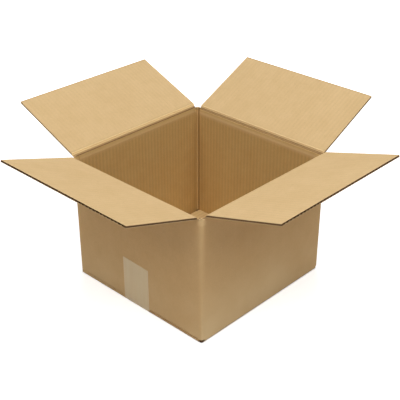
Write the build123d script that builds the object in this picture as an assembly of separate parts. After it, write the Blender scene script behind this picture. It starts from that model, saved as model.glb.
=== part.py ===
from build123d import *
import os
from math import asin, atan2, cos, hypot, pi, sin, sqrt, tan

# Open carton of single-wall corrugated board, in millimetres. The origin is the
# middle of the underside, on the floor side of the tape. +Z is up. The taped bottom
# seam runs along X, so the outer (major) flaps hang on the -Y and +Y walls and the
# inner (minor) flaps on the -X and +X walls.

# Outside of the carton
length = 254.0
width = 251.0
crease_height = 193.8

# Board: two liners and one corrugated medium between them
board = 3.0
liner = 0.35
medium = 0.35
flute_pitch = 6.43
flute_land = 1.5
flute_steps = (0.07, 0.26)

# Flaps and how far each one stands above the level
flap_depth = 124.0
layer_gap = 0.2
front_angle = 16.9
right_angle = 25.7
back_angle = 22.4
left_angle = 18.2

# Slots between neighbouring flaps, at the front, right, back and left corner: how far
# each outer and each inner flap stops short of the corner. Top and bottom are alike.
outer_slots = (6.5, 3.0, 6.5, 1.0)
inner_slots = (6.5, 3.3, 6.5, 3.3)

# Vertical corners
corner_radius = 4.5
score_bead_radius = 1.5
score_bead_inset = 0.9
corner_drop = 2.0
corner_hole = 4.6

# Pressed creases
crease_gap = 0.2
crease_nip = 0.9
crease_crush = 1.4
crest_nose = 1.9
crest_taper = 7.5
crest_depth = 9.0
crest_round = 0.8
shoulder_run = 0.8
shoulder_round = 1.2
crushed_band = 3.0
bottom_fold_radius = 3.0

# Glued joint at the corner between the -Y and +X walls
tab_width = 32.0
tab_board = 2.4
tab_fold_radius = 2.9
tab_setback = 4.0
tab_taper = 9.0
lap_setback = 1.5

# Tape over the bottom seam
tape_width = 50.0
tape_thickness = 0.2
tape_shift = 1.3
tape_reach = 71.0
tape_skew = 1.0
tape_tooth = 0.9
tape_teeth = 20

# Heights that follow from the stack of tape and board
board_bottom = tape_thickness
minor_bottom = board_bottom + board + layer_gap
floor_top = minor_bottom + board
minor_crease = crease_height - board - layer_gap
corner_top = crease_height - corner_drop
corner_bottom = board_bottom + corner_hole

# The four sides in order round the carton, seen from above. Each is drawn as the
# front (-Y) wall and turned to its place. Corner k lies between sides k - 1 and k.
front_side, right_side, back_side, left_side = range(4)
side_names = ("front", "right", "back", "left")
side_angles = (front_angle, right_angle, back_angle, left_angle)


def is_major(side):
    return side % 2 == 0


def half_depth(side):
    return (width if is_major(side) else length) / 2


def half_run(side):
    return (length if is_major(side) else width) / 2


def top_crease(side):
    return crease_height if is_major(side) else minor_crease


def flap_run(side):
    # How far the side's flaps reach, at the top and at the bottom.
    slots = outer_slots if is_major(side) else inner_slots
    return slots[side] - half_run(side), half_run(side) - slots[(side + 1) % 4]


def crest_foot(side):
    return top_crease(side) - crest_depth


def bottom_layer(side):
    return board_bottom if is_major(side) else minor_bottom


def bottom_foot(side):
    return bottom_layer(side) + 2 * board


def on_side(solid, side):
    return Rot(0, 0, 90 * side) * solid


def wall_prism(outline, side, run):
    # An outline drawn as (distance in from the wall's outer face, height), run along the wall.
    section = Plane(origin=(run[0], -half_depth(side), 0), x_dir=(0, 1, 0), z_dir=(1, 0, 0))
    return on_side(extrude(section * outline, run[1] - run[0]), side)


def block(low, high):
    size = [b - a for a, b in zip(low, high)]
    return Pos(*low) * Box(*size, align=(Align.MIN, Align.MIN, Align.MIN))


def rounded(face, corner, radius):
    # Round one corner of an outline.
    return fillet(face.vertices().sort_by_distance((*corner, 0))[0], radius)


def carton_footprint():
    # Three folded corners and the glued one. There the -Y wall ends in a cut edge, and
    # the +X wall turns in behind it.
    right, front = length / 2, -width / 2
    behind = Pos(0, board / 2) * Rectangle(length, width - board)
    behind = rounded(behind, (right, front + board), tab_fold_radius)
    ahead = Pos(-lap_setback / 2, front + board / 2) * Rectangle(length - lap_setback, board)
    outline = behind + ahead
    for corner in ((-right, front), (right, -front), (-right, -front)):
        outline = rounded(outline, corner, corner_radius)
    return outline


# Pressed creases. The board is crushed to a line at each hinge. The wall's crest and
# the flap's root are both wedges from that line, cut so that the closed flap's root
# lies over the crest and the open flap can hang against the wall outside.
def crest_outline(side):
    top = top_crease(side)
    foot = crest_foot(side)
    nip = (crease_nip, top - crease_gap - crease_nip)
    nose = (crest_nose, top - crease_gap - crease_crush)
    full = (board, top - crest_taper)
    outline = Polyline((0, foot), (0, top - crease_gap), nip, nose, full, (board, foot), close=True)
    return rounded(make_face(outline), nose, crest_round)


def flap_root_end():
    return crest_nose + crease_gap + shoulder_run + crushed_band


def flap_root_outline():
    # Drawn as (distance from the hinge line, depth in from the outer liner).
    nip = (crease_nip, crease_nip - crease_gap)
    band = (crest_nose + crease_gap, crease_crush - crease_gap)
    shoulder = (band[0] + shoulder_run, board)
    end = flap_root_end()
    outline = Polyline((crease_gap, 0), nip, band, shoulder, (end, board), (end, 0), close=True)
    return rounded(make_face(outline), shoulder, shoulder_round)


def flute_void(middle, upward):
    # The hollow between one liner and one wave of the medium. The wave is a cosine,
    # the hollow's edge lies half a medium off it, and a glued land parts the hollows.
    amplitude = board / 2 - liner - medium / 2
    half = []
    for step in flute_steps:
        phase = 2 * pi * step
        slope = amplitude * 2 * pi / flute_pitch * sin(phase)
        half.append((step * flute_pitch, medium / 2 * sqrt(1 + slope**2) - amplitude * cos(phase)))
    half.append((flute_pitch / 2 - flute_land / 2, board / 2 - liner))
    flip = 1 if upward else -1
    outline = [(middle - w, board / 2 + flip * n) for w, n in reversed(half)]
    outline += [(middle + w, board / 2 + flip * n) for w, n in half]
    return make_face(Polyline(*outline, close=True))


def flat_flap(side):
    # Drawn level and turned out: hinge line on X, outer liner at Z 0, inner liner on top.
    # The flutes run from the cut edge to the crushed band beside the crease.
    start, end = flap_run(side)
    root_plane = Plane(origin=(end, 0, 0), x_dir=(0, -1, 0), z_dir=(-1, 0, 0))
    root = extrude(root_plane * flap_root_outline(), end - start)
    middle = (start + end) / 2
    count = int((end - start - 2 * flute_land) / (flute_pitch / 2)) - 1
    first = middle - (count - 1) * flute_pitch / 4
    section = Pos(middle, board / 2) * Rectangle(end - start, board)
    section -= [flute_void(first + k * flute_pitch / 2, k % 2 == 0) for k in range(count)]
    cut_plane = Plane(origin=(0, -flap_root_end(), 0), x_dir=(1, 0, 0), z_dir=(0, -1, 0))
    return root + extrude(cut_plane * section, flap_depth - flap_root_end())


def top_flap(side):
    hinge = Pos(0, -half_depth(side), top_crease(side))
    return on_side(hinge * Rot(-side_angles[side], 0, 0) * flat_flap(side), side)


def notch(side, low, high):
    # Clears a side's wall between two heights, over its flap's reach and in past the
    # slots of its neighbours. The slot beside the glued corner runs up to the -Y wall.
    near = -half_depth(side) - board
    far = -half_depth(side) + max(board, *inner_slots[1::2]) + layer_gap
    start, end = flap_run(side)
    if side == right_side:
        start = board - half_run(side)
    return on_side(block((start, near, low), (end, far, high)), side)


def wall_tube():
    # A rounded tube, notched at each top and bottom flap, where the crests and the
    # bottom folds take its place. What is left between the notches closes the corners.
    inside = Rectangle(length - 2 * board, width - 2 * board)
    tube = Pos(0, 0, corner_bottom) * extrude(carton_footprint() - inside, corner_top - corner_bottom)
    for side in range(4):
        tube -= notch(side, crest_foot(side), crease_height)
        tube -= notch(side, 0, bottom_foot(side))
    return tube


def bottom_flap(side):
    # The wall's foot, the rolled fold and the flap that closes the floor.
    low, foot = bottom_layer(side), bottom_foot(side)
    high = low + board
    outside = [(0, foot), (0, low), (flap_depth, low)]
    inside = [(flap_depth, high), (board, high), (board, foot)]
    outline = make_face(Polyline(*outside, *inside, close=True))
    return wall_prism(rounded(outline, (0, low), bottom_fold_radius), side, flap_run(side))


def score_beads():
    # The vertical scores leave a rolled bead inside each folded corner. The one at the
    # left corner stops below the flap that folds in over it.
    reach = score_bead_inset + board
    foot = floor_top + layer_gap
    upright = (Align.CENTER, Align.CENTER, Align.MIN)
    beads = []
    for x_sign, y_sign, top in ((-1, -1, corner_top), (1, 1, corner_top), (-1, 1, crest_foot(left_side))):
        spot = Pos(x_sign * (length / 2 - reach), y_sign * (width / 2 - reach), foot)
        beads.append(spot * Cylinder(score_bead_radius, top - foot, align=upright))
    return beads


def glue_tab():
    # The +X wall turns in at the glued corner as a tab behind the -Y wall. Its ends are
    # tapered and stay clear of the floor and of the flap that folds in above.
    near = length / 2 - board
    tip = near - tab_width
    low, high = floor_top + tab_setback, crest_foot(right_side) - tab_setback
    outline = Polyline((near, low), (near, high), (tip, high - tab_taper), (tip, low + tab_taper), close=True)
    inner_face = Plane(origin=(0, board + tab_board - width / 2, 0), x_dir=(1, 0, 0), z_dir=(0, -1, 0))
    return extrude(inner_face * make_face(outline), tab_board)


def carton_body():
    column = extrude(carton_footprint(), crease_height)
    body = wall_tube() + glue_tab()
    for side in range(4):
        body += wall_prism(crest_outline(side), side, flap_run(side)) & column
        body += bottom_flap(side) & column
    return body + score_beads()


def taut_height(slot):
    # Tape pulled from the outer flap's end, a slot's width in from the corner, just
    # touches the inner fold's roll and meets the end wall at this height.
    across = slot - bottom_fold_radius
    up = minor_bottom + bottom_fold_radius - board_bottom
    slope = atan2(up, -across) + asin(bottom_fold_radius / hypot(across, up))
    return board_bottom - slot * tan(slope)


def torn_edge():
    # What the dispenser's toothed blade takes off above the strip's slanted ends.
    low, step = tape_shift - tape_width / 2, tape_width / (2 * tape_teeth)
    edge = []
    for k in range(2 * tape_teeth + 1):
        slant = tape_skew * (k / tape_teeth - 1)
        edge.append((low + k * step, tape_reach + slant + tape_tooth / 2 * (-1) ** k))
    high = tape_reach + 2 * board
    across = Plane(origin=(-length, 0, 0), x_dir=(0, 1, 0), z_dir=(1, 0, 0))
    outline = Polyline(*edge, (low + tape_width + board, high), (low - board, high), close=True)
    return extrude(across * make_face(outline), 2 * length)


def bottom_tape():
    # One strip: along the seam under the floor, round both ends and up both end walls.
    end = length / 2
    top = tape_reach + board
    left_slot = min(outer_slots[front_side], outer_slots[left_side])
    right_slot = min(outer_slots[right_side], outer_slots[back_side])
    path = [(-end, top), (-end, taut_height(left_slot)), (left_slot - end, board_bottom)]
    path += [(end - right_slot, board_bottom), (end, taut_height(right_slot)), (end, top)]
    inner = make_face(Polyline(*path, close=True))
    band = offset(inner, tape_thickness, kind=Kind.INTERSECTION) - inner
    along = Plane(origin=(0, tape_shift + tape_width / 2, 0), x_dir=(1, 0, 0), z_dir=(0, -1, 0))
    return extrude(along * band, tape_width) - torn_edge()


def save(name, solid):
    export_step(solid, os.path.join("parts", name + ".step"))


os.makedirs("parts", exist_ok=True)
save("carton_body", carton_body())
for side, name in enumerate(side_names):
    save(name + "_flap", top_flap(side))
save("bottom_tape", bottom_tape())
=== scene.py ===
"""Open carton of corrugated kraft board with a strip of clear tape, on a white studio floor."""

import math
import random
from collections import namedtuple

import bmesh
import bpy
from mathutils import Matrix, Vector


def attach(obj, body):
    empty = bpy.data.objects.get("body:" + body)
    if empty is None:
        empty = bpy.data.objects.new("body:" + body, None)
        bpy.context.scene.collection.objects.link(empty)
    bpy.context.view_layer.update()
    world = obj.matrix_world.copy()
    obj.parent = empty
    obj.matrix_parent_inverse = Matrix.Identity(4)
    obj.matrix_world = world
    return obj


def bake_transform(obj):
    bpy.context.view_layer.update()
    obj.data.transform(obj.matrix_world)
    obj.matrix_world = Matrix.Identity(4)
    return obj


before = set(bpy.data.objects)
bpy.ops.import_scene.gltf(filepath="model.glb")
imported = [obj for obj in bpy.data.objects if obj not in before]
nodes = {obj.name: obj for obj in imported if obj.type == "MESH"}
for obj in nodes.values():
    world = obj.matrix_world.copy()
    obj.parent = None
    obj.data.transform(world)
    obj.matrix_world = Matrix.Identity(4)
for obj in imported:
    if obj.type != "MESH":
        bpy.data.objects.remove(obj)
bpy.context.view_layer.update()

# Sizes of the carton, in metres. A flap's root is the crushed wedge beside its crease.
LENGTH, WIDTH = 0.254, 0.251
MAJOR_CREASE, MINOR_CREASE = 0.1938, 0.1906
BOARD, LINER = 0.003, 0.00035
FLUTE_PITCH = 0.00643
FLAP_ROOT, FLAP_DEPTH = 0.0059, 0.124
LOWER_LAYER_TOP = 0.0033
CORNER_RADIUS = 0.0045
CORNER_REACH = LENGTH / 2 + WIDTH / 2

# The four sides: which way the wall faces, which way it runs, how far it stands from the
# middle, its crease height, how far its flap stands above the level in degrees, and
# where the flap starts and ends along the wall.
Side = namedtuple("Side", "facing run half crease angle start end")
SIDES = {
    "front": Side((0, -1, 0), (1, 0, 0), WIDTH / 2, MAJOR_CREASE, 16.9, -0.1205, 0.1240),
    "right": Side((1, 0, 0), (0, 1, 0), LENGTH / 2, MINOR_CREASE, 25.7, -0.1222, 0.1190),
    "back": Side((0, 1, 0), (-1, 0, 0), WIDTH / 2, MAJOR_CREASE, 22.4, -0.1205, 0.1260),
    "left": Side((-1, 0, 0), (0, -1, 0), LENGTH / 2, MINOR_CREASE, 18.2, -0.1222, 0.1190),
}

# The roll of liner at each fold, in metres: how far it reaches from the hinge, how thick
# it stands on the liner, how deep it is sunk in, and how near the hinge it bends. Then the
# steps of its curve and the stations along it, and the random waves that swell it: their
# share of its reach, how many there are, and the ranges of their rate, phase and weight.
FOLD_LEG, FOLD_SKIN, FOLD_SUNK, FOLD_TURN = 0.0009, 0.00004, 0.0002, 0.00025
FOLD_STEPS, FOLD_STATIONS = 8, 90
WAVE_SHARE, WAVES = 0.10, 6
WAVE_RATE, WAVE_PHASE, WAVE_WEIGHT = (20, 160), (0, 6.28), (0.3, 1.0)

# The web under a folded corner, a sheet that closes the hole there and is painted near black as its
# shadow:
# its inner and outer radius and its lower and upper edge in metres, and its sweep round the corner
# in degrees.
# Then each one's place, as the carton's side along X and along Y.
WEB_INNER, WEB_OUTER, WEB_LOW, WEB_HIGH = 0.0019, 0.0033, 0.0003, 0.0050
WEB_START, WEB_SWEEP, WEB_STEPS = -8, 106, 8
SHADOW_WEBS = (
    ("front_corner_web", -1, -1),
    ("left_corner_web", -1, 1),
    ("back_corner_web", 1, 1),
    ("right_corner_web", 1, -1),
)

# The crushed fold under an end wall, in metres: its section as distance in from the end
# and height, then each one's end of the carton and where it starts and ends along the wall.
# Its foot is shaded, up from the floor.
EDGE_TOP, EDGE_FOOT, EDGE_DEPTH = 0.00338, 0.00035, 0.0063
EDGE_SHADE_AT = (0.0004, 0.0013)
EDGE_SECTION = (
    (0.0003, EDGE_TOP),
    (0.0003, 0.0017),
    (0.0006, 0.0009),
    (0.0013, EDGE_FOOT),
    (EDGE_DEPTH, EDGE_FOOT),
    (EDGE_DEPTH, EDGE_TOP),
)
BOTTOM_EDGES = (
    ("left_bottom_edge", -1, -0.1195, -0.0246),
    ("right_bottom_edge", 1, 0.0275, 0.1195),
)

# Where each mark of the finish lies, in metres: the start and end of its edge, or a band's
# start and end and how soft its sides are. On a flap, from the hinge outwards:
FLAP_RIBS_AT = (0.004, 0.012)
SLOPE_END_AT = (FLAP_ROOT - 0.0024, FLAP_ROOT - 0.0008)
SHOULDER_AT = (FLAP_ROOT - 0.0024, FLAP_ROOT + 0.0004, 0.0006)
LINE_START = 0.0006
OPEN_FLUTES_AT = (FLAP_ROOT - 0.001, FLAP_ROOT)
RIM_AT = (FLAP_DEPTH - 0.0018, FLAP_DEPTH - 0.0004)
END_CUT_AT = (FLAP_DEPTH - 0.0004, FLAP_DEPTH - 0.0002)
# On a wall, from its crease downwards:
WALL_SHADOW_LINE_AT, WALL_SHADE_AT = (0.0006, 0.0016), (0.0009, 0.0024)
PRESSED_BAND_LIT_AT = (0.004, 0.0105, 0.003)
WALL_RIBS_AT = (0.004, 0.014)
# Beside a folded corner inside, along one wall or, below 0, along the other:
RIDGE_AT, THIN_RIDGE_AT = (-0.0014, 0.0008, 0.0004), (0.0054, 0.0066, 0.0004)
GROOVE_AT, THIN_GROOVE_AT = (0.0014, 0.0046, 0.0006), (-0.0084, -0.0072, 0.0005)
# Towards a corner, along X and Y together: the scored part inside, the fold outside
SCORED_AT = (CORNER_REACH - 0.020, CORNER_REACH - 0.018)
FOLDED_AT = (CORNER_REACH - 0.0105, CORNER_REACH - 0.0026)
# Cut edges of the body: nearer the middle than the walls and the tab, or on top of a wall
CUT_X_AT, CUT_Y_AT = (0.1208, 0.1212), (0.1190, 0.1194)
CUT_TOP_AT, CUT_TOP_OUT_AT = (0.189, 0.1905), (-0.0035, -0.003)
# From the floor upwards: the end of the bottom flaps, of every wall's paler foot, partly rubbed and
# partly painted light, and of the front wall's painted light, the climb of the painted highlight up
# the folded corners, and their crowns' brighter painted highlight
BOTTOM_END_AT = (0.02, 0.021)
FOOT_RUB_AND_LIGHT_END_AT, FRONT_FOOT_LIGHT_END_AT = (0.0, 0.10), (0.0, 0.13)
CORNER_HIGHLIGHT_AT, CROWN_HIGHLIGHT_AT = (0.02, 0.18), (0.181, 0.184)
# From the middle of the front wall away from the front corner, where its painted light fades
FRONT_LIGHT_FADE_AT = (0.0, 0.10)
# From the tape's own middle, its pale edges, and how far that middle lies off the carton's
TAPE_EDGE_AT, TAPE_SHIFT = (0.0243, 0.0249), 0.0013
# Half the width of the sharpest change between two finishes
HAIR = 0.0001

# How deep the relief of a finish is, in metres, and how rough and shiny each one is
RELIEF, FINE_RELIEF, RELIEF_STRENGTH = 0.0006, 0.0004, 0.5
BODY_ROUGH, FLAP_ROUGH, TRIM_ROUGH, WEB_ROUGH = 0.78, 0.82, 0.85, 0.9
PAPER_SHINE = 0.3

# How a pattern is stretched with height, so that the layers of board differ
LAYER_STRETCH = 3.0

# The studio, in metres. Seen directly, the floor glows: how strongly near the carton, how
# much more far from it and over which distances, and where it is clear of the carton.
FLOOR_HALF = 6.0
NEAR_GLOW, FAR_GLOW, FAR_GLOW_AT = 0.6, 0.4, (0.35, 1.1)
CLEAR_AT = (-0.001, 0.0)
SKY_STRENGTH, BACKDROP_STRENGTH = 0.13, 1.0

# The soft lights, all aimed at one place: azimuth and elevation in degrees, distance and
# size in metres, and power in watts. Azimuth 0 is in front of the -Y wall.
LIGHT_TARGET = (0, 0, 0.12)
SOFTBOXES = (
    ("overhead_softbox", 0.0, 89.0, 2.0, 0.8, 4.2),
    ("back_softbox", 135.0, 45.0, 1.8, 1.0, 12.5),
    ("left_softbox", -95.0, 50.0, 1.8, 1.0, 10.3),
    ("right_softbox", 5.0, 50.0, 1.8, 1.0, 10.4),
    ("front_softbox", -46.0, 55.0, 1.8, 1.0, 5.5),
)

# The camera, fitted to the carton's corners: where it stands in degrees, its focal length
# in pixels of a picture 400 wide, and where the carton's origin lies in the camera's axes,
# in metres. Then the sensor's width in millimetres, and how far it sees in metres.
CAMERA_AZIMUTH, CAMERA_ELEVATION = -46.309, 29.236
CAMERA_FOCUS, PICTURE_WIDTH = 866.116, 400.0
CAMERA_SHIFT = (-0.00092, -0.105599, -1.3146)
SENSOR_WIDTH, SIGHT = 36.0, 50.0


def paper(red, green, blue):
    """A colour as a paint chart gives it, 0 to 255, made linear."""
    parts = [c / 255 for c in (red, green, blue)]
    linear = tuple(c / 12.92 if c < 0.04045 else ((c + 0.055) / 1.055) ** 2.4 for c in parts)
    return linear + (1.0,)


# Colours of the kraft board, the tape and the studio
INNER_LINER = paper(214, 183, 134)
INNER_LINER_DARK = paper(207, 175, 125)
# The inner liner inside the carton: painted darker on the walls as painted shade, and paler on the
# floor as painted light
WALL_LINER_SHADED = paper(201, 168, 110)
WALL_LINER_SHADED_DARK = paper(194, 159, 101)
FLOOR_LINER_LIT = paper(230, 202, 142)
OUTER_LINER = paper(206, 169, 118)
OUTER_LINER_DARK = paper(200, 162, 110)
# Paler outer liner: rubbed wear, and painted light low on the walls
OUTER_RUBBED_AND_LIT = paper(225, 197, 149)
CUT_CORE = paper(114, 78, 42)
# Darkest colour of a cut edge: painted shade in the hollows of its flutes
CUT_CORE_SHADE = paper(72, 47, 22)
# Near black of the corner webs, as painted shadow
WEB_SHADOW = paper(52, 34, 18)
# Pale liner of cut edges and rims, also used as painted highlight
PALE_RIM_AND_HIGHLIGHT = paper(220, 186, 134)
CREASE_SHADE = paper(156, 122, 74)
# Painted shadow in the creases, and painted light on the smooth band under a wall's crease
CREASE_SHADOW_LINE = paper(112, 80, 40)
PRESSED_BAND_LIT = paper(220, 188, 142)
# Painted light: paler liner on the pressed slopes at the flaps' roots, palest on the back flap
FLAP_SLOPE_LIT = paper(234, 203, 150)
BACK_SLOPE_LIT = paper(246, 215, 158)
FIBRE_DARK = paper(150, 114, 74)
FIBRE_PALE = paper(232, 206, 164)
TAPE_FILM = paper(213, 197, 157)
TAPE_EDGE = paper(224, 206, 178)
FLOOR_GREY = (0.86, 0.86, 0.86, 1.0)
WHITE = (1.0, 1.0, 1.0, 1.0)

# How each flap is worn and painted: the colour of the painted light on the pressed slope at its
# root, how much painted shade its shoulder gets, the colour, end in metres and strength of the
# painted shadow line at its crease, the colour and strength of its knife-cut rim, and how much
# liner its side cuts show, more on the back flap as painted light. The two near flaps have pale
# fluff on their rims and the two far ones a dark line.
FlapWearAndLight = namedtuple("FlapWearAndLight", "slope shoulder line line_end line_share rim rim_share side_liner")
NEAR_WEAR_AND_LIGHT = FlapWearAndLight(FLAP_SLOPE_LIT, 0.08, CREASE_SHADOW_LINE, 0.0022, 0.9, PALE_RIM_AND_HIGHLIGHT, 0.4, 0.05)
FAR_WEAR_AND_LIGHT = NEAR_WEAR_AND_LIGHT._replace(rim=CREASE_SHADE, rim_share=0.8)
BACK_WEAR_AND_LIGHT = FlapWearAndLight(BACK_SLOPE_LIT, 0.22, CREASE_SHADE, 0.0016, 0.6, CREASE_SHADE, 0.8, 0.4)
FLAP_WEAR_AND_LIGHT = {"front": NEAR_WEAR_AND_LIGHT, "right": FAR_WEAR_AND_LIGHT, "back": BACK_WEAR_AND_LIGHT, "left": NEAR_WEAR_AND_LIGHT}

# How squarely a face has to look one way before it counts as facing that way
SQUARE = (0.6, 0.8)


class Value:
    """One socket of a finish, used in plain arithmetic."""

    def __init__(self, finish, socket):
        self.finish = finish
        self.socket = socket

    def __add__(self, other):
        return self.finish.maths("ADD", self, other)

    def __sub__(self, other):
        return self.finish.maths("SUBTRACT", self, other)

    def __rsub__(self, other):
        return self.finish.maths("SUBTRACT", other, self)

    def __mul__(self, other):
        return self.finish.maths("MULTIPLY", self, other)

    __radd__ = __add__
    __rmul__ = __mul__


class Finish:
    """A material, built from nodes one at a time."""

    def __init__(self, owner):
        """Owner is a new material's name, or the world."""
        self.material = bpy.data.materials.new(owner) if isinstance(owner, str) else owner
        self.material.use_nodes = True
        self.tree = self.material.node_tree
        self.tree.nodes.clear()

    @staticmethod
    def pick(sockets, name):
        shown = [s for s in sockets if s.enabled]
        return shown[name] if isinstance(name, int) else next(s for s in shown if s.name == name)

    def node(self, kind, settings=None, sockets=None, out=0):
        """Adds a node: its settings first, then the values or links of its sockets."""
        made = self.tree.nodes.new("ShaderNode" + kind)
        for name, value in (settings or {}).items():
            setattr(made, name, value)
        for name, value in (sockets or {}).items():
            socket = self.pick(made.inputs, name)
            if isinstance(value, Value):
                self.tree.links.new(value.socket, socket)
            else:
                socket.default_value = value
        if isinstance(out, tuple):
            return [Value(self, self.pick(made.outputs, name)) for name in out]
        return Value(self, self.pick(made.outputs, out)) if made.outputs else made

    def maths(self, operation, *values):
        return self.node("Math", {"operation": operation}, dict(enumerate(values)))

    def size(self, value):
        return self.maths("ABSOLUTE", value)

    def larger(self, first, second):
        return self.maths("MAXIMUM", first, second)

    def ramp(self, value, low, high):
        """0 below low, 1 above high, and a smooth rise between."""
        sockets = {"Value": value, "From Min": low, "From Max": high}
        return self.node("MapRange", {"interpolation_type": "SMOOTHSTEP"}, sockets)

    def fall(self, value, low, high):
        """1 below low, 0 above high, and a smooth fall between."""
        return 1 - self.ramp(value, low, high)

    def band(self, value, low, high, soft):
        """1 between low and high, and 0 outside."""
        rise = self.ramp(value, low - soft, low + soft)
        return rise * self.fall(value, high - soft, high + soft)

    def along(self, place, direction):
        sockets = {0: place, 1: direction}
        return self.node("VectorMath", {"operation": "DOT_PRODUCT"}, sockets, "Value")

    def facing(self, normal_part):
        """1 where the face looks squarely along this part of its normal, either way."""
        return self.ramp(self.size(normal_part), *SQUARE)

    def where(self):
        """The place on the object and the way the face looks."""
        return self.node("TexCoord", None, None, ("Object", "Normal"))

    def parts(self, vector):
        return self.node("SeparateXYZ", None, {"Vector": vector}, ("X", "Y", "Z"))

    def vector(self, x, y, z):
        return self.node("CombineXYZ", None, {"X": x, "Y": y, "Z": z})

    def noise(self, place, scale, detail, roughness):
        sockets = {"Vector": place, "Scale": scale, "Detail": detail, "Roughness": roughness}
        return self.node("TexNoise", None, sockets)

    def mix(self, share, first, second, blend="MIX"):
        settings = {"data_type": "RGBA", "blend_type": blend}
        sockets = {"Factor": share, "A": first, "B": second}
        return self.node("Mix", settings, sockets, "Result")

    def shade(self, colour, amount):
        """The colour, made lighter or darker by a share of itself."""
        sockets = {"Red": amount, "Green": amount, "Blue": amount}
        return self.mix(1.0, colour, self.node("CombineColor", None, sockets), "MULTIPLY")

    def bump(self, height, depth, strength):
        return self.node("Bump", None, {"Height": height, "Distance": depth, "Strength": strength})

    def surface(self, sockets):
        made = self.node("BsdfPrincipled", None, sockets)
        self.node("OutputMaterial", None, {"Surface": made})
        return self.material

    def paper_surface(self, colour, height, depth, roughness):
        """Dull board: its colour, its relief to a depth in metres, and its roughness."""
        sockets = {"Base Color": colour, "Roughness": roughness}
        sockets["Specular IOR Level"] = PAPER_SHINE
        sockets["Normal"] = self.bump(height, depth, RELIEF_STRENGTH)
        return self.surface(sockets)


def flutes(finish, across):
    """1 over the crest of each flute and -1 between two."""
    return finish.maths("COSINE", across * (2 * math.pi / FLUTE_PITCH))


def layer(finish, place):
    """How high a place is, stretched for the patterns."""
    return finish.parts(place)[2] * LAYER_STRETCH


def liner(finish, place, across, down, inside, pale, dark, ribs):
    """The paper face of the board. Across runs over the flutes, down runs along them,
    inside is 1 on the carton's inner face, pale and dark are its colours there, and ribs
    is how strongly the flutes show. Gives its colour and its relief."""
    cloud = finish.noise(place, 14.0, 3.0, 0.55)
    blotch = finish.noise(place, 60.0, 4.0, 0.6)
    pale = finish.mix(inside, OUTER_LINER, pale)
    dark = finish.mix(inside, OUTER_LINER_DARK, dark)
    colour = finish.mix(finish.ramp(cloud * 0.4 + blotch * 0.6, 0.25, 0.75), dark, pale)
    # Long fibres lie across the flutes, short ones any way
    at_layer = layer(finish, place)
    fibres = finish.noise(finish.vector(across * 260.0, down * 2600.0, at_layer), 1.0, 3.0, 0.6)
    specks = finish.noise(place, 1500.0, 2.0, 0.7)
    grain = finish.noise(place, 430.0, 2.0, 0.6)
    flecks = finish.noise(finish.vector(across * 500.0, down * 1400.0, at_layer), 1.0, 1.0, 0.5)
    colour = finish.mix(finish.ramp(flecks, 0.70, 0.78) * 0.45, colour, FIBRE_DARK)
    colour = finish.mix(finish.ramp(flecks, 0.30, 0.22) * 0.35, colour, FIBRE_PALE)
    # Washboard: the liner is glued to the crest of every flute, here more and there less. The
    # ripples go into the relief, and into the colour as painted light and shade across each flute
    patchy = finish.noise(finish.vector(across * 9.0, down * 5.0, 0.0), 1.0, 2.0, 0.6)
    wave = flutes(finish, across) * (finish.ramp(patchy, 0.3, 0.7) * 0.5 + 0.5) * ribs
    tone = 1.0 + (fibres - 0.5) * 0.07 + (specks - 0.5) * 0.06 + (grain - 0.5) * 0.12 + wave * 0.045
    height = wave * 0.12 + fibres * 0.05 + specks * 0.03
    return finish.shade(colour, tone), height


def outer_liner(finish, place, across, down, ribs):
    """The paper face of the board on the outside only."""
    return liner(finish, place, across, down, 0.0, OUTER_LINER, OUTER_LINER_DARK, ribs)


def between_liners(finish, depth):
    """1 in the fluted part of the board's thickness, and 0 in its two liners."""
    return finish.band(depth, LINER, BOARD - LINER, HAIR)


def cut_edge(finish, place, depth, across):
    """The board's cut edge: two pale liners and the torn flutes between them, painted dark brown
    for the medium and darkest as painted shade in the flutes' hollows.
    """
    torn_at = finish.vector(across * 700.0, layer(finish, place), depth * 900.0)
    tear = finish.noise(torn_at, 1.0, 3.0, 0.65)
    torn = finish.ramp(tear + flutes(finish, across) * 0.08, 0.35, 0.65)
    core = finish.mix(torn, CUT_CORE_SHADE, CUT_CORE)
    return finish.mix(1 - between_liners(finish, depth), core, PALE_RIM_AND_HIGHLIGHT)


def flap_frame(side):
    """The middle of the flap's hinge line, the way the flap points, and the way its
    inner liner faces."""
    facing, tilt = Vector(SIDES[side].facing), math.radians(SIDES[side].angle)
    out = facing * math.cos(tilt) + Vector((0, 0, math.sin(tilt)))
    up = Vector((0, 0, math.cos(tilt))) - facing * math.sin(tilt)
    return facing * SIDES[side].half + Vector((0, 0, SIDES[side].crease)), out, up


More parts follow.
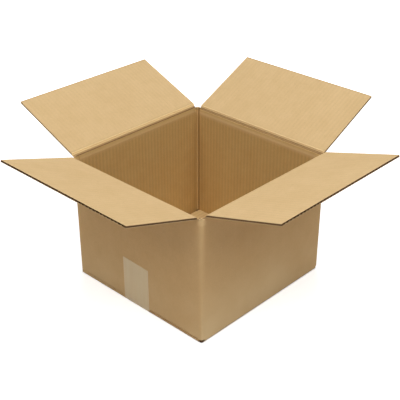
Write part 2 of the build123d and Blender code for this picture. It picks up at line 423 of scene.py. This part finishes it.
def flap_finish(name, side):
    run, wear_and_light = SIDES[side].run, FLAP_WEAR_AND_LIGHT[side]
    hinge, out, up = flap_frame(side)
    finish = Finish(name)
    place, normal = finish.where()
    across = finish.along(place, run)
    from_hinge = finish.along(place, out) - hinge.dot(out)
    depth = finish.along(place, up) - hinge.dot(up)
    inside = finish.ramp(finish.along(normal, tuple(up)), -0.2, 0.2)
    ribs = finish.ramp(from_hinge, *FLAP_RIBS_AT) * (inside * 0.35 + 0.15)
    colours = INNER_LINER, INNER_LINER_DARK
    colour, height = liner(finish, place, across, from_hinge, inside, *colours, ribs)
    # The crushed slope beside the crease is smoother, and painted paler as painted light; its
    # shoulder gets painted shade and its very foot a painted shadow line
    slope = finish.fall(from_hinge, *SLOPE_END_AT)
    shoulder = finish.band(from_hinge, *SHOULDER_AT)
    line = finish.fall(from_hinge, LINE_START, wear_and_light.line_end)
    colour = finish.mix(slope * inside, colour, wear_and_light.slope)
    colour = finish.mix(shoulder * inside * wear_and_light.shoulder, colour, CREASE_SHADE)
    colour = finish.mix(line * wear_and_light.line_share, colour, wear_and_light.line)
    # The cut edges: two sides, the open flutes above the root, and the end
    side_cut = finish.facing(finish.along(normal, run))
    open_flutes = between_liners(finish, depth) * finish.ramp(from_hinge, *OPEN_FLUTES_AT)
    cut = finish.larger(side_cut, open_flutes)
    cut = finish.larger(cut, finish.ramp(from_hinge, *END_CUT_AT))
    # Side cuts run between two flutes. Those of the back flap show more pale liner, as painted
    # light where its cuts face a lamp
    edge = cut_edge(finish, place, depth, across)
    colour = finish.mix(cut, colour, finish.mix(side_cut * wear_and_light.side_liner, edge, PALE_RIM_AND_HIGHLIGHT))
    # Along the flap's end the knife-cut rim is mixed paler on the near flaps and darker on the far
    # ones
    rim = finish.ramp(from_hinge, *RIM_AT) * (1 - cut)
    colour = finish.mix(rim * wear_and_light.rim_share, colour, wear_and_light.rim)
    return finish.paper_surface(colour, height, RELIEF, FLAP_ROUGH)


def fold_finish(name, side):
    finish = Finish(name)
    place = finish.where()[0]
    across, down = finish.along(place, SIDES[side].run), finish.parts(place)[2]
    colour, height = outer_liner(finish, place, across, down, 0.0)
    colour = finish.mix(0.25, colour, CREASE_SHADE)
    return finish.paper_surface(colour, height, FINE_RELIEF, TRIM_ROUGH)


def shade_and_light_creases(finish, colour, below, inside, on_x_wall):
    """The top creases: a painted shadow line in each crease with painted shade round it, and under
    it a smooth band painted paler as painted light. The line is darker and sharper on the end
    walls."""
    band = finish.band(below, *PRESSED_BAND_LIT_AT) * (inside * (on_x_wall * 0.2 + 0.3))
    colour = finish.mix(band, colour, PRESSED_BAND_LIT)
    shade = finish.fall(below, *WALL_SHADE_AT) * (0.65 - on_x_wall * 0.4)
    colour = finish.mix(shade, colour, CREASE_SHADE)
    line = finish.fall(below, *WALL_SHADOW_LINE_AT) * on_x_wall * 0.7
    return finish.mix(line, colour, CREASE_SHADOW_LINE)


def score_corners(finish, colour, size_x, size_y, shown):
    """The folded corners inside: the scored liner stands up in ridges between grooves, painted
    paler on the ridges as painted highlight and darker in the grooves as painted shade. Beside is
    how far a place lies from the corner, along one wall or the other."""
    beside = size_x - size_y - (LENGTH - WIDTH) / 2
    near = finish.ramp(size_x + size_y, *SCORED_AT) * shown
    groove_shade = finish.band(beside, *GROOVE_AT) + finish.band(beside, *THIN_GROOVE_AT) * 0.6
    ridge_highlights = finish.band(beside, *RIDGE_AT) + finish.band(beside, *THIN_RIDGE_AT) * 0.5
    colour = finish.mix(near * groove_shade * 0.75, colour, CREASE_SHADE)
    return finish.mix(near * ridge_highlights * 0.4, colour, PALE_RIM_AND_HIGHLIGHT)


def rub_and_light_outside(finish, colour, place, facing_y, outside, corner):
    """The outer liner is paler low on the walls, partly rubbed and partly painted light, with more
    painted light low on the front wall towards the front corner, and painted highlights along the
    folded corners up to their crowns."""
    x, _, z = finish.parts(place)
    blotches = finish.ramp(finish.noise(place, 22.0, 3.0, 0.5), 0.3, 0.7)
    low = finish.fall(z, *FOOT_RUB_AND_LIGHT_END_AT) * outside * (blotches * 0.25 + 0.22)
    front = finish.ramp(facing_y, -0.5, -0.8) * finish.fall(x, *FRONT_LIGHT_FADE_AT)
    # More painted light low on the front wall, towards the front corner
    front_foot_light = front * finish.fall(z, *FRONT_FOOT_LIGHT_END_AT) * outside * 0.42
    colour = finish.mix(low + front_foot_light, colour, OUTER_RUBBED_AND_LIT)
    # Painted highlight up the folded corners outside, brighter at their crowns
    share = finish.ramp(z, *CORNER_HIGHLIGHT_AT) * 0.3 + finish.ramp(z, *CROWN_HIGHLIGHT_AT) * 0.5 + 0.08
    return finish.mix(corner * outside * share, colour, PALE_RIM_AND_HIGHLIGHT)


def body_finish(name):
    finish = Finish(name)
    place, normal = finish.where()
    x, y, z = finish.parts(place)
    facing_x, facing_y, facing_z = finish.parts(normal)
    size_x, size_y = finish.size(x), finish.size(y)
    on_x_wall = finish.ramp(finish.size(facing_x) - finish.size(facing_y), -0.02, 0.02)
    level = finish.facing(facing_z) * finish.fall(z, *BOTTOM_END_AT)
    # On the floor of the carton the inner flaps' flutes run along X, the outer ones' along Y
    lower_layer = finish.fall(z, LOWER_LAYER_TOP - HAIR, LOWER_LAYER_TOP + HAIR)
    over_y = on_x_wall * (1 - level) + level * (1 - lower_layer)
    across = y * over_y + x * (1 - over_y)
    down = z * (1 - level) + level * (x * over_y + y * (1 - over_y))
    # How far out a place lies from the middle of the wall's board
    past_x, past_y = size_x - (LENGTH / 2 - BOARD / 2), size_y - (WIDTH / 2 - BOARD / 2)
    outward = finish.larger(past_x, past_y)
    inside = finish.fall(outward, -0.0002, 0.0002) * (1 - level * lower_layer)
    below = MAJOR_CREASE * (1 - on_x_wall) + MINOR_CREASE * on_x_wall - z
    ribs = finish.ramp(below, *WALL_RIBS_AT) * (inside * 1.6 + 0.12)
    # Inside, the walls take the painted-shade copy of the inner liner and the floor the
    # painted-light copy
    pale = finish.mix(level, WALL_LINER_SHADED, FLOOR_LINER_LIT)
    dark = finish.mix(level, WALL_LINER_SHADED_DARK, INNER_LINER)
    colour, height = liner(finish, place, across, down, inside, pale, dark, ribs)
    colour = shade_and_light_creases(finish, colour, below, inside, on_x_wall)
    # The glued corner isn't scored
    glued = finish.ramp(x, -0.001, 0.001) * finish.fall(y, -0.001, 0.001)
    scored = inside * (1 - level) * (1 - glued)
    colour = score_corners(finish, colour, size_x, size_y, scored)
    # Cut edges at the slots, along the bottom seam and on the glued tab
    cut_x = finish.facing(facing_x) * finish.fall(size_x, *CUT_X_AT)
    cut_y = finish.facing(facing_y) * finish.fall(size_y, *CUT_Y_AT)
    cut_top = finish.ramp(facing_z, *SQUARE) * finish.ramp(z, *CUT_TOP_AT)
    cut_top = cut_top * finish.ramp(outward, *CUT_TOP_OUT_AT)
    cut = finish.larger(cut_top, finish.larger(cut_x, cut_y))
    depth = finish.maths("MINIMUM", LENGTH / 2 - size_x, WIDTH / 2 - size_y)
    colour = finish.mix(cut * 0.8, colour, cut_edge(finish, place, depth, across))
    corner = finish.ramp(size_x + size_y, *FOLDED_AT)
    colour = rub_and_light_outside(finish, colour, place, facing_y, 1 - inside, corner)
    return finish.paper_surface(colour, height, RELIEF, BODY_ROUGH)


def tape_finish(name):
    """Clear film over the outer liner: the paper shows through, paler and smoother."""
    finish = Finish(name)
    place = finish.where()[0]
    x, y, z = finish.parts(place)
    colour, height = outer_liner(finish, place, y, z, 0.1)
    film = finish.noise(finish.vector(y * 170.0, z * 14.0, x * 14.0), 1.0, 3.0, 0.5)
    colour = finish.mix(0.58 + (film - 0.5) * 0.5, colour, TAPE_FILM)
    edge = finish.ramp(finish.size(y - TAPE_SHIFT), *TAPE_EDGE_AT)
    sockets = {
        "Base Color": finish.mix(edge * 0.6, colour, TAPE_EDGE),
        "Roughness": 0.42 + film * 0.1,
        "Normal": finish.bump(height * 0.4 + film * 0.2, RELIEF, 0.4),
        "Coat Weight": 0.25,
        "Coat Roughness": 0.3,
    }
    return finish.surface(sockets)


def shadow_web_finish(name):
    finish = Finish(name)
    # Mottled near black: painted shadow in the hole under the corner
    mottle = finish.noise(finish.where()[0], 900.0, 3.0, 0.6)
    colour = finish.mix(mottle, WEB_SHADOW, CUT_CORE)
    relief = finish.bump(mottle, FINE_RELIEF, 0.6)
    return finish.surface({"Base Color": colour, "Roughness": WEB_ROUGH, "Normal": relief})


def edge_finish(name):
    finish = Finish(name)
    place = finish.where()[0]
    _, y, z = finish.parts(place)
    colour, height = outer_liner(finish, place, y, z, 0.1)
    colour = finish.mix(finish.fall(z, *EDGE_SHADE_AT) * 0.8, colour, CREASE_SHADE)
    relief = finish.bump(height, FINE_RELIEF, RELIEF_STRENGTH)
    return finish.surface({"Base Color": colour, "Roughness": TRIM_ROUGH, "Normal": relief})


def floor_finish(name):
    """White paper. Seen directly it is lifted towards white, and keeps the shadow. Under
    the carton it isn't lifted, so no glow shows through the slots."""
    finish = Finish(name)
    rays = ("Is Camera Ray", "Is Glossy Ray", "Is Transmission Ray")
    camera, glossy, clear = finish.node("LightPath", None, None, rays)
    seen = finish.larger(camera, finish.larger(glossy, clear))
    place = finish.where()[0]
    past_x = finish.size(finish.along(place, (1, 0, 0))) - LENGTH / 2
    past_y = finish.size(finish.along(place, (0, 1, 0))) - WIDTH / 2
    clear_of_carton = finish.ramp(finish.larger(past_x, past_y), *CLEAR_AT)
    distance = finish.node("VectorMath", {"operation": "LENGTH"}, {0: place}, "Value")
    strength = clear_of_carton * (NEAR_GLOW + finish.ramp(distance, *FAR_GLOW_AT) * FAR_GLOW)
    plain = finish.node("BsdfDiffuse", None, {"Color": FLOOR_GREY})
    glow = finish.node("Emission", None, {"Color": WHITE, "Strength": strength})
    lifted = finish.node("AddShader", None, {0: plain, 1: glow})
    shown = finish.node("MixShader", None, {0: seen, 1: plain, 2: lifted})
    finish.node("OutputMaterial", None, {"Surface": shown})
    return finish.material


def dress(node_name, material):
    """Gives a node its only material."""
    materials = nodes[node_name].data.materials
    materials.clear()
    materials.append(material)


def add_object(name, data):
    made = bpy.data.objects.new(name, data)
    bpy.context.scene.collection.objects.link(made)
    return made


def tube_faces(rings, count):
    """The faces of a closed tube through this many rings of count points, and its ends."""
    faces = []
    for k in range(rings - 1):
        for j in range(count):
            a, b = k * count + j, k * count + (j + 1) % count
            faces.append((a, b, b + count, a + count))
    faces.append(tuple(reversed(range(count))))
    faces.append(tuple(range((rings - 1) * count, rings * count)))
    return faces


def add_tube(name, points, rings, material, smooth=True):
    """A piece through rings of points, with its faces turned outwards."""
    mesh = bpy.data.meshes.new(name)
    mesh.from_pydata(points, [], tube_faces(rings, len(points) // rings))
    work = bmesh.new()
    work.from_mesh(mesh)
    bmesh.ops.recalc_face_normals(work, faces=work.faces)
    work.to_mesh(mesh)
    work.free()
    mesh.polygons.foreach_set("use_smooth", [smooth] * len(mesh.polygons))
    mesh.materials.append(material)
    return add_object(name, mesh)


def add_fold(side):
    """The outer liner runs unbroken over the crease and bunches into a small roll there."""
    facing, wall_run = Vector(SIDES[side].facing), Vector(SIDES[side].run)
    start, end = SIDES[side].start, SIDES[side].end
    hinge, out, up = flap_frame(side)
    down = Vector((0, 0, -1))
    rng = random.Random("fold " + side)
    waves = [
        (rng.uniform(*WAVE_RATE), rng.uniform(*WAVE_PHASE), rng.uniform(*WAVE_WEIGHT))
        for _ in range(WAVES)
    ]
    points = []
    for k in range(FOLD_STATIONS + 1):
        run = start + (end - start) * k / FOLD_STATIONS
        swell = 1 + WAVE_SHARE * sum(a * math.sin(f * run + p) for f, p, a in waves)
        leg = FOLD_LEG * swell
        first = hinge + down * leg + facing * FOLD_SKIN
        last = hinge + out * leg - up * FOLD_SKIN
        middle = hinge + facing * FOLD_SKIN * 0.5
        ring = []
        for j in range(FOLD_STEPS + 1):
            t = j / FOLD_STEPS
            ring.append(first * (1 - t) ** 2 + middle * 2 * t * (1 - t) + last * t**2)
        ring.append(hinge + out * leg + up * FOLD_SUNK)
        ring.append(hinge - facing * FOLD_SUNK + up * FOLD_SUNK)
        ring.append(hinge + down * leg - facing * FOLD_SUNK)
        points += [p + wall_run * run for p in ring]
    finish = fold_finish("kraft_board_" + side + "_fold", side)
    fold = add_tube(side + "_fold", points, FOLD_STATIONS + 1, finish)
    hinge + down * FOLD_TURN
    hinge + out * FOLD_TURN
    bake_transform(fold)


def add_shadow_web(name, side_x, side_y):
    """Under each folded corner a web closes the hole between the slots, painted near black as the
    shadow there.
    """
    centre_x, centre_y = LENGTH / 2 - CORNER_RADIUS, WIDTH / 2 - CORNER_RADIUS
    middle = Vector((side_x * centre_x, side_y * centre_y, 0))
    section = (
        (WEB_INNER, WEB_LOW),
        (WEB_OUTER, WEB_LOW),
        (WEB_OUTER, WEB_HIGH),
        (WEB_INNER, WEB_HIGH),
    )
    points = []
    for k in range(WEB_STEPS + 1):
        turn = math.radians(WEB_START + WEB_SWEEP * k / WEB_STEPS)
        spoke = Vector((side_x * math.cos(turn), side_y * math.sin(turn), 0))
        points += [middle + spoke * reach + Vector((0, 0, z)) for reach, z in section]
    web = add_tube(name, points, WEB_STEPS + 1, shadow_web_finish(name))
    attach(web, "carton")


def add_bottom_edge(name, side_x, start, end):
    """Under an end wall the inner flap's fold is crushed down over the slot's edge."""
    section = [(side_x * (LENGTH / 2 - inset), z) for inset, z in EDGE_SECTION]
    points = [(x, y, z) for y in (start, end) for x, z in section]
    edge = add_tube(name, points, 2, edge_finish(name), smooth=False)
    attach(edge, "carton")


def add_floor():
    half = FLOOR_HALF
    mesh = bpy.data.meshes.new("floor")
    corners = [(-half, -half, 0), (half, -half, 0), (half, half, 0), (-half, half, 0)]
    mesh.from_pydata(corners, [], [(0, 1, 2, 3)])
    mesh.materials.append(floor_finish("white_floor"))
    add_object("studio_floor", mesh)


def add_world():
    world = bpy.data.worlds.new("studio")
    bpy.context.scene.world = world
    finish = Finish(world)
    seen = finish.node("LightPath", None, None, "Is Camera Ray")
    sky = finish.node("Background", None, {"Color": WHITE, "Strength": SKY_STRENGTH})
    backdrop = finish.node("Background", None, {"Color": WHITE, "Strength": BACKDROP_STRENGTH})
    shown = finish.node("MixShader", None, {0: seen, 1: sky, 2: backdrop})
    finish.node("OutputWorld", None, {"Surface": shown})


def stand(azimuth, elevation):
    """The way from the carton to something at this azimuth and elevation, in degrees."""
    a, e = math.radians(azimuth), math.radians(elevation)
    return Vector((math.sin(a) * math.cos(e), -math.cos(a) * math.cos(e), math.sin(e)))


def add_softbox(name, azimuth, elevation, distance, size, power):
    """A square soft light, aimed at the carton."""
    toward = stand(azimuth, elevation)
    data = bpy.data.lights.new(name, "AREA")
    data.shape = "SQUARE"
    data.size = size
    data.energy = power
    light = add_object(name, data)
    light.location = Vector(LIGHT_TARGET) + toward * distance
    light.rotation_mode = "QUATERNION"
    light.rotation_quaternion = toward.to_track_quat("Z", "Y")


def add_camera():
    azimuth = math.radians(CAMERA_AZIMUTH)
    right = Vector((math.cos(azimuth), math.sin(azimuth), 0))
    back = stand(CAMERA_AZIMUTH, CAMERA_ELEVATION)
    up = back.cross(right)
    turn = Matrix((right, up, back)).transposed()
    data = bpy.data.cameras.new("camera")
    data.sensor_width = SENSOR_WIDTH
    data.lens = CAMERA_FOCUS * SENSOR_WIDTH / PICTURE_WIDTH
    data.clip_end = SIGHT
    camera = add_object("camera", data)
    camera.rotation_mode = "QUATERNION"
    camera.rotation_quaternion = turn.to_quaternion()
    camera.location = turn @ -Vector(CAMERA_SHIFT)
    bpy.context.scene.camera = camera


bpy.context.scene.view_settings.view_transform = "Standard"
for side_name in SIDES:
    dress(side_name + "_flap", flap_finish("kraft_board_" + side_name + "_flap", side_name))
dress("carton_body", body_finish("kraft_board_body"))
dress("bottom_tape", tape_finish("clear_tape"))
for side_name in SIDES:
    add_fold(side_name)
for corner_web in SHADOW_WEBS:
    add_shadow_web(*corner_web)
for bottom_edge in BOTTOM_EDGES:
    add_bottom_edge(*bottom_edge)
add_floor()
add_world()
for softbox in SOFTBOXES:
    add_softbox(*softbox)
add_camera()
